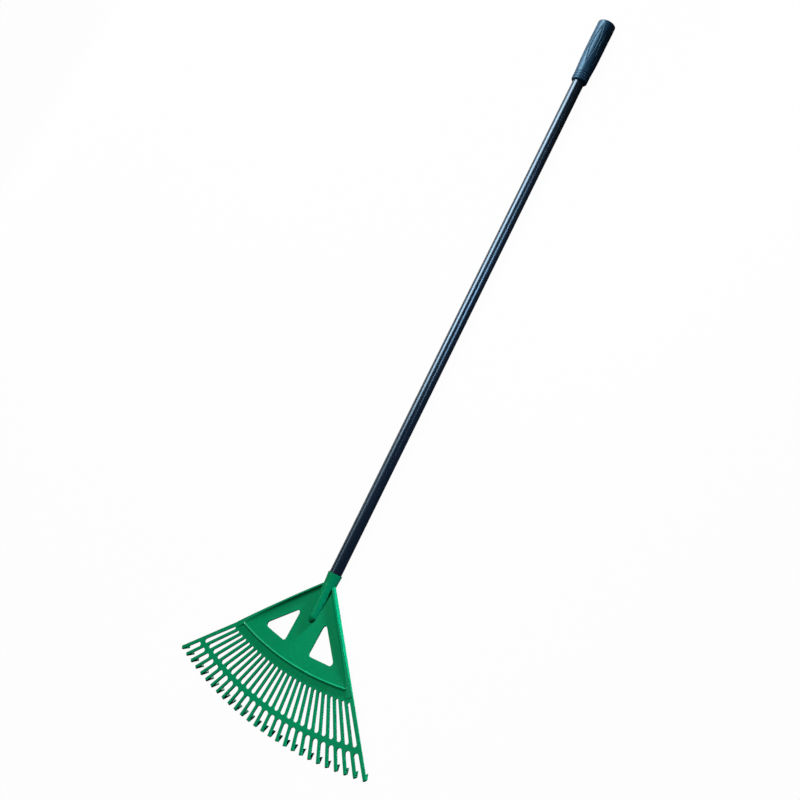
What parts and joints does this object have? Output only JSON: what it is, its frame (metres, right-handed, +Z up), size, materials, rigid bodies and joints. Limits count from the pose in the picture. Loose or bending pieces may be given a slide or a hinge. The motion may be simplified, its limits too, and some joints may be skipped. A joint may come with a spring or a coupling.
{
  "type": "leaf rake",
  "caption": "Leaf rake: wide one-piece plastic fan with hooked tines and two windows, on a long covered tube handle with a grooved hand grip.",
  "frame": {"origin": "on the floor under the middle of the overall length, on the rake's plane of symmetry", "axes": "+X across the fan, +Y along the handle toward the grip, +Z up; the rake lies flat with its top side up and its hooked tine ends pointing down"},
  "size_m": [0.5314, 1.4456, 0.0354],
  "materials": {
    "head_plastic": "satin moulded polypropylene, green",
    "tube_steel": "plain drawn steel tube, hidden",
    "cover_plastic": "glossy near-black navy plastic film",
    "grip_plastic": "satin dark steel-blue plastic",
    "screw_steel": "zinc-plated steel"
  },
  "bodies": {
    "root": {"rake_head": "head_plastic", "handle_tube": "tube_steel", "handle_cover": "cover_plastic", "handle_grip": "grip_plastic", "socket_screw": "screw_steel"}
  },
  "joints": []
}
